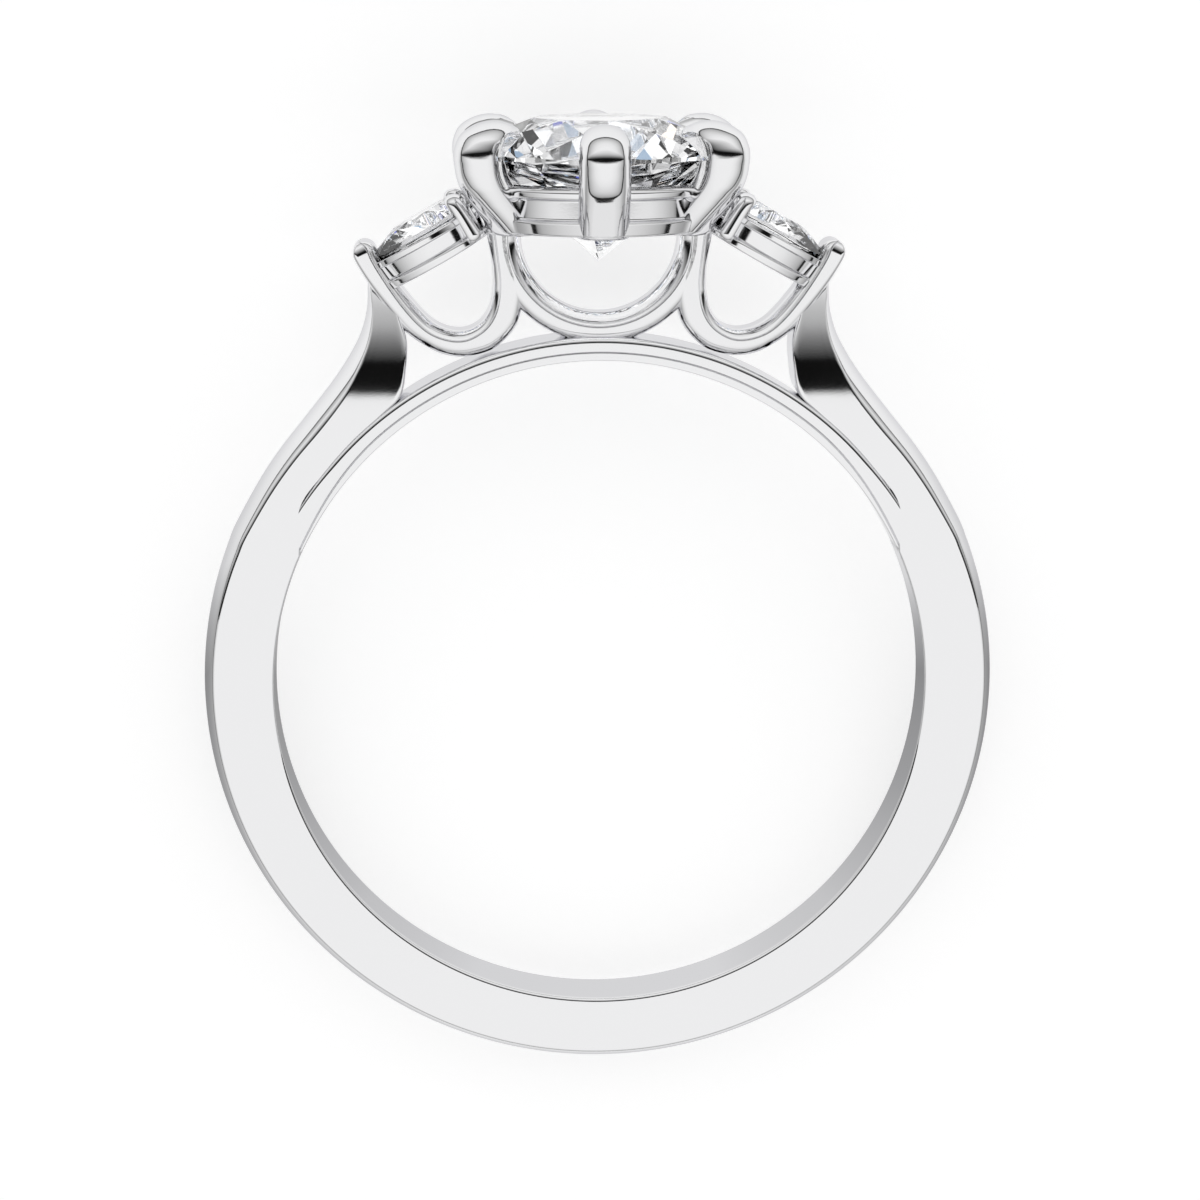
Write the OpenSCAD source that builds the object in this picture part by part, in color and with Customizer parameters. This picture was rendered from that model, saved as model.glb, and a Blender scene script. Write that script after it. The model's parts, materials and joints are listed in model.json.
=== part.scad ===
// Three-stone ring: a round brilliant between two pear brilliants, in a polished white gold mount.
// The ring is drawn round the axis of its finger hole: x to the right, y to the head, z along the
// hole. It is then laid on its side, where it rests on the head's rear claw and the shank's edge.

/* [Finger hole] */
// Diameter of the finger hole
hole_d = 16.9; // [16.85:0.01:16.95]
// Radius of the comfort edge at both ends of the hole
hole_edge = 0.2; // [0.15:0.01:0.22]

/* [Shank] */
// Width of the shank along the hole
shank_w = 1.9; // [1.85:0.01:1.95]
// Thickness of the shank
shank_t = 1.85; // [1.82:0.01:1.88]
// How far the outside is domed above the flat sides
shank_dome = 0.4; // [0.3:0.01:0.45]
// Angle above the middle at which the shoulders start
shoulder_start = 18; // [17:0.5:19]

/* [Bridge] */
// Thickness of the bridge over the finger
bridge_t = 0.6; // [0.57:0.01:0.62]

/* [U wires] */
// Width of the U wires along the hole
wire_w = 1.35; // [1.2:0.05:1.5]
// Thickness of the centre U
wire_t = 0.75; // [0.72:0.01:0.78]
// Middle radius of the centre U
u_radius = 2.415; // [2.4:0.005:2.43]
// Height of the centre of the centre U above the hole's axis
u_height = 11.65; // [11.6:0.01:11.68]

/* [Centre stone] */
// Diameter of the round brilliant
round_d = 6.12; // [6.06:0.02:6.18]
// Height of its culet above the hole's axis
culet_height = 10.94; // [10.9:0.01:10.98]

/* [Side stones] */
// Length of the pears
pear_l = 3.1; // [3.05:0.01:3.15]
// Width of the pears
pear_w = 2.4; // [2.35:0.01:2.45]
// Slope of the pears, down and outwards
pear_slope = 30; // [29.5:0.1:30.5]
// Distance of the pears' round centres from the middle
pear_x = 4.27; // [4.25:0.01:4.29]
// Height of the pears' round centres above the hole's axis
pear_y = 11.83; // [11.81:0.01:11.85]

/* [Claws] */
// Width of the centre setting's claws
claw_w = 1.3; // [1.24:0.01:1.32]
// Diameter of the pears' round claws
small_claw_d = 0.54; // [0.5:0.01:0.58]
// Gap between a stone and the metal round it
seat_gap = 0.03; // [0.02:0.01:0.05]

/* [Hidden] */
$fn = 96;

white_gold = [0.86, 0.86, 0.87];
diamond = [0.82, 0.88, 0.95];

hole_r = hole_d / 2;
half_w = shank_w / 2;
bridge_r = hole_r + bridge_t;
edge_round = 0.1;

shank_r = hole_r + shank_t;
// The shank's section starts inside the thin inner ring.
shank_inner = hole_r + bridge_t / 2;
dome_steps = 4;

// The shoulder's first section is this much larger than the shank's end, and holds it.
shoulder_grow = 0.01;
// Sections of the right shoulder, from the shank up to the outer claw.
// Columns: outer x, outer y, inner x, inner y, half width along the hole, dome
shoulder_rows = [
    [9.24, 4.46, 7.88, 3.78, 0.96, 0.42],
    [8.24, 6.06, 7.04, 5.19, 0.96, 0.48],
    [7.55, 6.98, 6.24, 6.30, 0.96, 0.51],
    [6.86, 7.86, 5.50, 7.03, 0.96, 0.52],
    [6.43, 8.50, 5.10, 7.56, 0.95, 0.51],
    [6.12, 9.10, 4.96, 8.22, 0.90, 0.46],
    [5.95, 9.74, 4.93, 8.94, 0.76, 0.38],
    [5.92, 10.40, 5.16, 9.72, 0.60, 0.28]
];
// The shoulders' sides fall back towards the head. Columns: height above the hole's axis, half width
scoop_rows = [
    [2, 1.2], [6.6, 1.0], [7.3, 0.945], [7.78, 0.924], [8.1, 0.899], [8.48, 0.858],
    [8.9, 0.795], [9.3, 0.714], [9.85, 0.568], [10.2, 0.454], [10.8, 0.31]
];

// The right side U, from its leg beside the centre U round to the claw over the pear's point.
// Columns: outer x, outer y, inner x, inner y, outer rounding, inner rounding
side_u_rows = [
    [2.36, 12.05, 2.92, 12.05, 0.06, 0.24],
    [2.25, 10.96, 2.76, 10.96, 0.08, 0.24],
    [2.03, 10.50, 2.725, 10.50, 0.16, 0.26],
    [1.96, 10.10, 2.74, 10.20, 0.28, 0.27],
    [2.00, 9.70, 2.80, 9.86, 0.30, 0.28],
    [2.12, 9.33, 2.91, 9.60, 0.30, 0.30],
    [2.39, 8.98, 3.08, 9.39, 0.30, 0.32],
    [2.80, 8.68, 3.33, 9.25, 0.30, 0.36],
    [3.45, 8.52, 3.60, 9.207, 0.30, 0.40],
    [4.02, 8.585, 3.92, 9.27, 0.30, 0.42],
    [4.52, 8.83, 4.22, 9.42, 0.30, 0.42],
    [4.97, 9.17, 4.49, 9.66, 0.28, 0.42],
    [5.35, 9.62, 4.77, 9.98, 0.26, 0.42],
    [5.68, 10.08, 5.05, 10.33, 0.22, 0.42],
    [5.95, 10.50, 5.36, 10.74, 0.16, 0.36],
    [6.25, 11.03, 5.70, 11.32, 0.12, 0.30]
];
leg_top = 12.05;
wire_outer_round = 0.3;
wire_inner_round = 0.42;
// The wire's inner rounding starts with a crease at this tilt.
crease_tilt = 22;

// Round brilliant, as shares of its diameter
crown_share = 0.138;
girdle_share = 0.03;
pavilion_share = 0.426;
table_share = 0.57;
star_share = 0.5;
lower_share = 0.77;
round_r = round_d / 2;
girdle_y = culet_height + round_d * pavilion_share;

// Pear: a half circle at the round end, and two long arcs that meet at the point.
pear_r = pear_w / 2;
pear_point = pear_l - pear_r;
pear_arc_r = (pear_point * pear_point + pear_r * pear_r) / (2 * pear_r);
pear_arc_shift = pear_arc_r - pear_r;
pear_middle = [-0.15, 0];
pear_crown = 0.40;
pear_pavilion = 0.74;
pear_table_share = 0.5;

// Collar of the centre setting: heights above the hole's axis, and radii
collar_r = 3.02;
collar_wall = 0.52;
collar_low = 11.76;
channel_low = 12.12;
channel_high = 12.70;
collar_high = 12.98;
channel_depth = 0.2;

// Sections of a centre claw, from the collar up over the crown. Radii are counted from the stone's
// edge and heights from its girdle.
// Columns: inner radius, inner height, outer radius, outer height, share of the claw's half width
claw_rows = [
    [-0.50, -1.80, -0.02, -1.85, 0.94],
    [-0.47, -1.27, 0.46, -1.31, 0.98],
    [-0.44, -0.98, 0.72, -1.01, 0.99],
    [-0.40, -0.74, 0.93, -0.77, 1.00],
    [-0.25, -0.50, 1.05, -0.52, 1.00],
    [-0.04, -0.22, 1.13, -0.22, 1.00],
    [0.03, 0.08, 1.16, 0.08, 1.00],
    [-0.12, 0.30, 1.12, 0.40, 0.99],
    [-0.40, 0.47, 0.94, 0.71, 0.94],
    [-0.60, 0.61, 0.60, 0.93, 0.80],
    [-0.68, 0.72, 0.22, 1.03, 0.55],
    [-0.62, 0.83, -0.14, 1.02, 0.25]
];
claw_count = 6;
// How far the claw's round front wraps to each side, towards a neck at the stone
claw_wrap = 118;

// Pear collar: heights from the pear's girdle, and how far its rails stand out past the stone
pear_collar_low = -0.86;
pear_channel_low = -0.62;
pear_channel_high = -0.23;
pear_collar_high = -0.06;
pear_rail = 0.14;
pear_channel = 0.01;
pear_collar_inset = 0.42;
small_claw_turn = 47;
small_claw_out = 0.06;
small_claw_high = 0.52;

// Attitude at rest: the rear claw's widest section and the shank's lower edge touch the floor.
touch_row = claw_rows[5];
touch_r = round_r + touch_row[2];
touch_y = girdle_y + touch_row[3];
rest_tilt = atan((touch_r - half_w) / (touch_y + shank_r - shank_dome));
rest_lift = touch_r * cos(rest_tilt) - touch_y * sin(rest_tilt);
reach_up = max([for (row = claw_rows)
    (girdle_y + row[3]) * cos(rest_tilt) + (round_r + row[2]) * sin(rest_tilt)]);
reach_down = shank_r * cos(rest_tilt);
rest_shift = (reach_down - reach_up) / 2;

function unit(v) = v / norm(v);
function bow(centre, r, from, to, steps) =
    [for (i = [0:steps]) let(a = from + (to - from) * i / steps) centre + r * [cos(a), sin(a)]];

// A ring of points: the section's first column runs from a to b, its second along the hole.
function ring_between(a, b, section) = let(d = unit(b - a))
    [for (p = section) [a[0] + d[0] * p[0], a[1] + d[1] * p[0], p[1]]];

// Both halves of a section from its points at one side
function both_halves(half) = concat(half, [for (i = [len(half) - 1:-1:0]) if (half[i][1] > 0)
    [half[i][0], -half[i][1]]]);

// Section with an outside rounded as half an ellipse, flat sides and a small inner edge
function domed_section(depth, half, rise) = both_halves(concat(
    [[0, half - edge_round], [edge_round, half]],
    [for (i = [0:dome_steps]) let(a = 90 * i / dome_steps)
        [depth - rise + rise * sin(a), i == dome_steps ? 0 : half * cos(a)]]));

// Section of a wire: inner roundings that start with a crease, and round outer edges
function wire_section(depth, half, outer, inner) = both_halves(concat(
    [for (a = [90, 67, 45, crease_tilt])
        [inner * (1 - sin(a)), half - inner * (cos(crease_tilt) - cos(a))]],
    [[max(depth - outer, inner * (1 - sin(crease_tilt)) + 0.01), half]],
    [for (a = [30, 60, 90]) [depth - outer * (1 - sin(a)), half - outer * (1 - cos(a))]]));

// Section of a claw: a round front, and a neck that narrows towards the stone
function claw_section(depth, half) =
    let(bulge = min(half, depth * 0.6), middle = depth - bulge,
        narrow = (middle + bulge * cos(claw_wrap)) / tan(claw_wrap),
        neck = max(half * sin(claw_wrap) + narrow, 0.3 * half))
    both_halves(concat([[0, neck]],
        [for (i = [4:-1:0]) [middle + bulge * cos(claw_wrap * i / 4), half * sin(claw_wrap * i / 4)]]));

// A closed skin through rings that all have the same number of points
module loft(rings) {
    n = len(rings[0]);
    last = len(rings) - 1;
    polyhedron(
        points = [for (ring = rings) each ring],
        faces = concat(
            [[for (i = [0:n - 1]) i]],
            [[for (i = [n - 1:-1:0]) last * n + i]],
            [for (k = [0:last - 1], i = [0:n - 1]) each let(j = (i + 1) % n, a = k * n, b = a + n)
                [[a + i, b + j, a + j], [a + i, b + i, b + j]]]));
}

// A wire through rows of outer and inner points, outer and inner rounding
module wire(rows) {
    loft([for (row = rows) let(outer = [row[0], row[1]], inner = [row[2], row[3]])
        ring_between(inner, outer, wire_section(norm(inner - outer), wire_w / 2, row[4], row[5]))]);
}

// The thin ring round the finger, which is the bridge under the head
module inner_ring() {
    half = [
        each bow([hole_r + hole_edge, half_w - hole_edge], hole_edge, 180, 90, 3),
        each bow([bridge_r - edge_round, half_w - edge_round], edge_round, 90, 0, 2)
    ];
    rotate_extrude() polygon(concat(half, [for (i = [len(half) - 1:-1:0]) [half[i][0], -half[i][1]]]));
}

module shank() {
    depth = shank_r - shank_inner;
    section = [for (p = domed_section(depth, half_w, shank_dome)) [shank_inner + p[0], p[1]]];
    rotate([0, 0, 180 - shoulder_start])
        rotate_extrude(angle = 180 + 2 * shoulder_start)
            polygon(section);
}

module shoulder() {
    grown = shank_r + shoulder_grow;
    sleeve = [for (a = [shoulder_start - 1, shoulder_start + 1]) let(away = [cos(a), sin(a)])
        ring_between(away * shank_inner, away * grown,
            domed_section(grown - shank_inner, half_w + shoulder_grow, shank_dome))];
    intersection() {
        loft(concat(sleeve, [for (row = shoulder_rows)
            let(outer = [row[0], row[1]], inner = [row[2], row[3]])
            ring_between(inner, outer, domed_section(norm(outer - inner), row[4], row[5]))]));
        scoop();
    }
}

// What the shoulders' falling sides leave, drawn across both of them
module scoop() {
    side = [for (row = scoop_rows) [row[0], row[1]]];
    rotate([90, 0, 90]) linear_extrude(2 * shank_r + 2, center = true)
        polygon(concat(side, [for (i = [len(side) - 1:-1:0]) [side[i][0], -side[i][1]]]));
}

module centre_u() {
    rows = [for (a = [180:9:360]) let(way = [cos(a), sin(a)], centre = [0, u_height],
            outer = centre + way * (u_radius + wire_t / 2), inner = centre + way * (u_radius - wire_t / 2))
        [outer[0], outer[1], inner[0], inner[1], wire_outer_round, wire_inner_round]];
    first = rows[0];
    last = rows[len(rows) - 1];
    wire(concat(
        [[first[0], leg_top, first[2], leg_top, first[4], first[5]]],
        rows,
        [[last[0], leg_top, last[2], leg_top, last[4], last[5]]]));
}

// Rows that close a wire with a round head, as wide as the wire is thick
function domed_end(row) =
    let(outer = [row[0], row[1]], inner = [row[2], row[3]], middle = (outer + inner) / 2,
        reach = norm(inner - outer) / 2, across = unit(inner - outer), ahead = [across[1], -across[0]])
    [for (a = [28, 56, 80]) let(here = middle + ahead * reach * sin(a), share = cos(a),
        low = here - across * reach * share, high = here + across * reach * share)
        [low[0], low[1], high[0], high[1], row[4] * share, row[5] * share]];

module side_u() {
    wire(concat(side_u_rows, domed_end(side_u_rows[len(side_u_rows) - 1])));
}

// Places what is drawn round z at the head, with its height along the ring's y.
module head_axis() {
    rotate([-90, 0, 0]) children();
}

module centre_collar() {
    inner = collar_r - collar_wall;
    e = edge_round / 2;
    head_axis() rotate_extrude() polygon([
        [inner - 0.1, collar_low], [collar_r - 0.14, collar_low], [collar_r - 0.07, collar_low + e],
        [collar_r, channel_low - e], [collar_r - e, channel_low],
        [collar_r - channel_depth, channel_low + e], [collar_r - channel_depth, channel_high - e],
        [collar_r - e, channel_high], [collar_r + 0.04, channel_high + e],
        [collar_r + 0.04, collar_high - edge_round], [collar_r - edge_round, collar_high],
        [inner + 0.05, collar_high]
    ]);
}

module centre_claw() {
    loft([for (row = claw_rows)
        let(inner = [round_r + row[0], girdle_y + row[1]], outer = [round_r + row[2], girdle_y + row[3]])
        ring_between(inner, outer, claw_section(norm(outer - inner), claw_w / 2 * row[4]))]);
}

module centre_claws() {
    for (i = [0:claw_count - 1])
        rotate([0, 90 + 360 / claw_count * i, 0]) centre_claw();
}

// Heights and radii of the round brilliant's outermost corners, grown by the seat's gap
module centre_seat() {
    g = seat_gap;
    star = star_radius(round_r, table_share);
    low = girdle_y;
    high = girdle_y + round_d * girdle_share;
    head_axis() rotate_extrude() polygon([
        [0, culet_height - 2 * g], [round_r + g, low - g], [round_r + g, high + g],
        [star + 2 * g, high + star_height(round_d, round_r) + 2 * g],
        [round_r * table_share + g, high + round_d * crown_share + g],
        [0, high + round_d * crown_share + g]
    ]);
}

// Where a star facet's lower corner lies between the table's edge and the girdle
function star_radius(r, table) = let(inner = r * table * cos(22.5)) inner + (r - inner) * star_share;
function star_height(d, r) = d * crown_share
    * (r - star_radius(r, table_share) * cos(22.5)) / (r - r * table_share);

// Outline of a pear at turn s: 0 at the point, 90 and 270 at the widest places, 180 at the round end
function pear_at(s, r, arc_r, shift) =
    let(f = s <= 180 ? s : 360 - s, side = s <= 180 ? 1 : -1, a = acos(shift / arc_r) * (1 - f / 90))
    f < 90 ? [arc_r * sin(a), side * (arc_r * cos(a) - shift)] : [r * cos(f), side * r * sin(f)];

// Corners of a brilliant over a given outline of 16 girdle points: table, stars, girdle, pavilion
function gem_corners(outline, centre, crown, star_h, girdle, pavilion, table, star, lower, lower_h) =
    concat(
        [for (k = [0:7]) let(p = centre + (outline[2 * k] - centre) * table)
            [p[0], p[1], girdle + crown]],
        [for (k = [0:7]) let(p = centre + (outline[2 * k + 1] - centre) * star)
            [p[0], p[1], girdle + star_h]],
        [for (p = outline) [p[0], p[1], girdle]],
        [for (p = outline) [p[0], p[1], 0]],
        [for (k = [0:7]) let(p = centre + (outline[2 * k + 1] - centre) * lower)
            [p[0], p[1], -lower_h]],
        [[centre[0], centre[1], -pavilion]]);

// Corner numbers: table 0 to 7, stars 8 to 15, upper girdle 16 to 31, lower girdle 32 to 47,
// lower halves 48 to 55, culet 56
module gem(corners) {
    polyhedron(points = corners, faces = concat(
        [[for (k = [7:-1:0]) k]],
        [for (k = [0:7]) each let(n = (k + 1) % 8, p = (k + 7) % 8, u = 16 + 2 * k, w = 16 + 2 * n) [
            [k, n, 8 + k],
            [8 + p, k, u], [k, 8 + k, u],
            [u, 8 + k, u + 1], [8 + k, w, u + 1]]],
        [for (i = [0:15]) each let(j = (i + 1) % 16) [
            [16 + i, 16 + j, 32 + j], [16 + i, 32 + j, 32 + i]]],
        [for (k = [0:7]) each let(n = (k + 1) % 8, p = (k + 7) % 8, l = 32 + 2 * k, w = 32 + 2 * n) [
            [l, l + 1, 48 + k], [l + 1, w, 48 + k],
            [48 + p, l, 56], [l, 48 + k, 56]]]));
}

module round_gem() {
    outline = [for (i = [0:15]) round_r * [cos(22.5 * i), sin(22.5 * i)]];
    lower = 1 - lower_share;
    gem(gem_corners(outline, [0, 0], round_d * crown_share, star_height(round_d, round_r),
        round_d * girdle_share, round_d * pavilion_share, table_share,
        star_radius(round_r, table_share) / round_r, lower,
        round_d * pavilion_share * (1 - lower * cos(22.5))));
}

// A pear brilliant, grown all round by g, with its girdle's middle at z = 0
module pear_gem(g) {
    outline = [for (i = [0:15]) pear_at(22.5 * i, pear_r + g, pear_arc_r + g, pear_arc_shift)];
    lower = 1 - lower_share;
    girdle = pear_w * girdle_share;
    translate([0, 0, -girdle / 2 - g])
        gem(gem_corners(outline, pear_middle, pear_crown + g, pear_crown * 0.6 + g,
            girdle + 2 * g, pear_pavilion + 2 * g, pear_table_share, 0.76, lower,
            (pear_pavilion + 2 * g) * (1 - lower * cos(22.5))));
}

// Outline of the pear grown by g, from true arcs
module pear_shape(g) {
    big = 3 * pear_l;
    intersection() {
        circle(r = pear_r + g);
        translate([-big, -big / 2]) square([big, big]);
    }
    intersection() {
        translate([0, pear_arc_shift]) circle(r = pear_arc_r + g);
        translate([0, -pear_arc_shift]) circle(r = pear_arc_r + g);
        translate([0, -big / 2]) square([big, big]);
    }
}

module pear_band(low, high, out) {
    translate([0, 0, low]) linear_extrude(high - low) difference() {
        pear_shape(out);
        pear_shape(-pear_collar_inset);
    }
}

module small_claw() {
    r = small_claw_d / 2;
    dome = bow([0, small_claw_high - r], r, 0, 90, 4);
    rotate_extrude() polygon(concat([[0, pear_collar_low], [r, pear_collar_low]], dome));
}

// The pear's setting, drawn with the stone's point along x and its table up
module pear_setting() {
    pear_band(pear_collar_low, pear_channel_low, pear_rail);
    pear_band(pear_channel_low - 0.05, pear_channel_high + 0.05, pear_channel);
    pear_band(pear_channel_high, pear_collar_high, pear_rail);
    for (side = [-1, 1])
        rotate([0, 0, 180 + side * small_claw_turn])
            translate([pear_r + small_claw_out, 0, 0]) small_claw();
}

// Places what is drawn flat, with its point along x, at the right pear.
module at_pear() {
    translate([pear_x, pear_y, 0]) rotate([0, 0, -pear_slope]) rotate([-90, 0, 0]) children();
}

module both_sides() {
    children();
    mirror([1, 0, 0]) children();
}

module lie_on_side() {
    translate([0, rest_shift, rest_lift]) rotate([rest_tilt, 0, 0]) children();
}

module mount() {
    color(white_gold) lie_on_side() difference() {
        union() {
            inner_ring();
            shank();
            centre_u();
            centre_collar();
            centre_claws();
            both_sides() {
                shoulder();
                side_u();
                at_pear() pear_setting();
            }
        }
        centre_seat();
        both_sides() at_pear() pear_gem(seat_gap);
    }
}

module centre_stone() {
    color(diamond) lie_on_side() head_axis() translate([0, 0, girdle_y]) round_gem();
}

module right_stone() {
    color(diamond) lie_on_side() at_pear() pear_gem(0);
}

module left_stone() {
    color(diamond) lie_on_side() mirror([1, 0, 0]) at_pear() pear_gem(0);
}

mount();
centre_stone();
left_stone();
right_stone();
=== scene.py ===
# Looks of the three-stone ring: a polished white gold mount, a round brilliant and two pear brilliants.
# Shapes are worked out in millimetres round the axis of the finger hole: x to the right, y to the head,
# z along the hole towards the viewer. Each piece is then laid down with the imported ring, in metres.
import json
import math

import bmesh
import bpy
import numpy as np
from mathutils import Matrix, Vector


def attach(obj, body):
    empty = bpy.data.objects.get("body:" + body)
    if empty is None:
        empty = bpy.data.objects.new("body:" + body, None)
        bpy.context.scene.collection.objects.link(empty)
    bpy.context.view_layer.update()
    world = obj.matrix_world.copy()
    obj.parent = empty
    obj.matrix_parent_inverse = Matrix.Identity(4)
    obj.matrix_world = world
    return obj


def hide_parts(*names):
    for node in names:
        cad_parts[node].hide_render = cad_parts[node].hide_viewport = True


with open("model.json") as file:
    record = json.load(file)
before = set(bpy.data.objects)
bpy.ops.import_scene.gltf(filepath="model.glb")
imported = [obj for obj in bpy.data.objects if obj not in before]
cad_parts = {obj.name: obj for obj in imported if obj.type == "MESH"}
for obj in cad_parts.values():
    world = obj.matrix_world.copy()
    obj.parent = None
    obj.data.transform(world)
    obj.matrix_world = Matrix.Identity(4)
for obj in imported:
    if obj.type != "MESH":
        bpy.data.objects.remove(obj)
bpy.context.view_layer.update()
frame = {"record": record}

MM = 0.001
HOLE = next(m for m in frame["record"]["mounts"] if m["name"] == "finger_hole")


def lay_down_matrix():
    """From the ring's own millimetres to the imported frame: the hole's axis gives the tilt."""
    along = Vector(HOLE["axis"]).normalized()
    to_head = along.cross(Vector((1, 0, 0)))
    turn = Matrix(((1, to_head.x, along.x), (0, to_head.y, along.y), (0, to_head.z, along.z)))
    return Matrix.Translation(HOLE["pos_m"]) @ turn.to_4x4() @ Matrix.Scale(MM, 4)


LAY_DOWN = lay_down_matrix()
TO_HEAD = (LAY_DOWN.to_3x3() @ Vector((0, 1, 0))).normalized()
ALONG_HOLE = (LAY_DOWN.to_3x3() @ Vector((0, 0, 1))).normalized()

# Camera: where the photograph was taken from. Angles in degrees, distance in millimetres.
IMAGE_PX = 1200
PX_PER_MM = 38.15
VIEW_RISE = 11.7
VIEW_TURN = -2.6
VIEW_DISTANCE = 100.0
# Where the middle of the hole lies in the photograph, in pixels
HOLE_PX = (598.8, 677.9)


def photo_camera():
    """A camera that sees the ring as the photograph does: nearly along the hole, from the head's side."""
    rise, turn = math.radians(VIEW_RISE), math.radians(VIEW_TURN)
    back = Vector((math.sin(turn) * math.cos(rise), math.sin(rise), math.cos(turn) * math.cos(rise)))
    right = Vector((0, 1, 0)).cross(back).normalized()
    up = back.cross(right)
    axes = [(LAY_DOWN.to_3x3() @ v).normalized() for v in (right, up, back)]
    data = bpy.data.cameras.new("photo_camera")
    data.sensor_width = 36.0
    data.lens = data.sensor_width * PX_PER_MM * VIEW_DISTANCE / IMAGE_PX
    data.shift_x = (IMAGE_PX / 2 - HOLE_PX[0]) / IMAGE_PX
    data.shift_y = (HOLE_PX[1] - IMAGE_PX / 2) / IMAGE_PX
    data.clip_start = 0.001
    camera = bpy.data.objects.new("photo_camera", data)
    place = Matrix(axes).transposed().to_4x4()
    place.translation = LAY_DOWN @ (back * VIEW_DISTANCE)
    camera.matrix_world = place
    bpy.context.scene.collection.objects.link(camera)
    bpy.context.scene.camera = camera


photo_camera()


def linear(hex_colour):
    """An sRGB hex colour as linear red, green, blue and alpha."""
    parts = [int(hex_colour[i:i + 2], 16) / 255 for i in (1, 3, 5)]
    return tuple(c / 12.92 if c <= 0.04045 else ((c + 0.055) / 1.055) ** 2.4 for c in parts) + (1.0,)


def add_node(tree, kind, links=(), **values):
    """A node with its settings, its input values, and links as (from socket, to input name)."""
    node = tree.nodes.new(kind)
    for name, value in values.items():
        if hasattr(node, name):
            setattr(node, name, value)
        else:
            node.inputs[name.replace("_", " ")].default_value = value
    for source, target in links:
        tree.links.new(source, node.inputs[target])
    return node


def ramp(tree, source, rows, start=0.0, end=1.0):
    """A soft step table from (value, share) rows, over a given range of values."""
    spread = add_node(tree, "ShaderNodeMapRange", [(source, "Value")])
    spread.inputs["From Min"].default_value = start
    spread.inputs["From Max"].default_value = end
    steps = add_node(tree, "ShaderNodeValToRGB", [(spread.outputs["Result"], "Fac")])
    stops = steps.color_ramp.elements
    stops.remove(stops[0])
    for k, (value, share) in enumerate(rows):
        where = (value - start) / (end - start)
        stop = stops.new(where) if k else stops[0]
        stop.position = where
        stop.color = (share, share, share, 1)
    return steps.outputs["Color"]


def share_along(tree, way, axis):
    """How far a direction points along a fixed axis."""
    dot = add_node(tree, "ShaderNodeVectorMath", [(way, 0)], operation="DOT_PRODUCT")
    dot.inputs[1].default_value = axis
    return dot.outputs["Value"]


def polished_white_gold(name):
    """Rhodium plated 18 carat white gold, cast and buffed: mirror bright, with a faint haze where the
    buff has passed and hairlines too fine to see singly."""
    material = bpy.data.materials.new(name)
    material.use_nodes = True
    tree = material.node_tree
    shader = tree.nodes["Principled BSDF"]
    shader.inputs["Base Color"].default_value = linear("#f3f3f4")
    shader.inputs["Metallic"].default_value = 1.0
    # Seen at a shallow slant the metal is greyer than a perfect mirror.
    shader.inputs["Specular Tint"].default_value = linear("#e4e4e6")
    place = add_node(tree, "ShaderNodeTexCoord").outputs["Object"]
    # Buffing haze drifts over about 2 mm.
    cloud = add_node(tree, "ShaderNodeTexNoise", [(place, "Vector")], Scale=500.0, Detail=3.0)
    rough = add_node(tree, "ShaderNodeMapRange", [(cloud.outputs["Fac"], "Value")])
    rough.inputs["To Min"].default_value = 0.05
    rough.inputs["To Max"].default_value = 0.08
    tree.links.new(rough.outputs["Result"], shader.inputs["Roughness"])
    # Hairlines lie about 0.05 mm apart.
    lines = add_node(tree, "ShaderNodeTexNoise", [(place, "Vector")], Scale=20000.0, Detail=2.0)
    bump = add_node(tree, "ShaderNodeBump", [(lines.outputs["Fac"], "Height")],
                    Strength=0.02, Distance=0.00001)
    tree.links.new(bump.outputs["Normal"], shader.inputs["Normal"])
    return material


def cut_diamond(name):
    """Colourless diamond, cut and polished: flat clear facets that flash white, grey and black."""
    material = bpy.data.materials.new(name)
    material.use_nodes = True
    shader = material.node_tree.nodes["Principled BSDF"]
    shader.inputs["Base Color"].default_value = linear("#ffffff")
    shader.inputs["Roughness"].default_value = 0.0
    # Bends light less than the real 2.42, so that the lower half stays light and partly clear.
    shader.inputs["IOR"].default_value = 1.68
    shader.inputs["Transmission Weight"].default_value = 1.0
    return material


WHITE_GOLD = polished_white_gold("white_gold_rhodium_polished")
DIAMOND = cut_diamond("diamond_cut_polished")


# Points closer than this, in metres, become one.
MERGE_M = 2e-7


def finish_piece(name, points, faces, material, replaced, smooth=True):
    """A piece from points in the ring's millimetres. It rides on the ring and replaces a CAD node."""
    mesh = bpy.data.meshes.new(name)
    mesh.from_pydata([LAY_DOWN @ Vector(p) for p in points], [], faces)
    work = bmesh.new()
    work.from_mesh(mesh)
    bmesh.ops.remove_doubles(work, verts=work.verts, dist=MERGE_M)
    bmesh.ops.recalc_face_normals(work, faces=work.faces)
    work.to_mesh(mesh)
    work.free()
    mesh.polygons.foreach_set("use_smooth", [smooth] * len(mesh.polygons))
    mesh.materials.append(material)
    piece = bpy.data.objects.new(name, mesh)
    bpy.context.scene.collection.objects.link(piece)
    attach(piece, "root")
    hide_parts(replaced)


def skin(rings, closed=False):
    """Points and faces through rings of the same number of points; open ends get caps."""
    n = len(rings[0])
    points = [tuple(p) for ring in rings for p in ring]
    faces = []
    last = len(rings) if closed else len(rings) - 1
    for k in range(last):
        a, b = k * n, (k + 1) % len(rings) * n
        faces += [(a + i, a + (i + 1) % n, b + (i + 1) % n, b + i) for i in range(n)]
    if not closed:
        faces += [tuple(range(n)), tuple(range(len(points) - n, len(points)))]
    return points, faces


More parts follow.
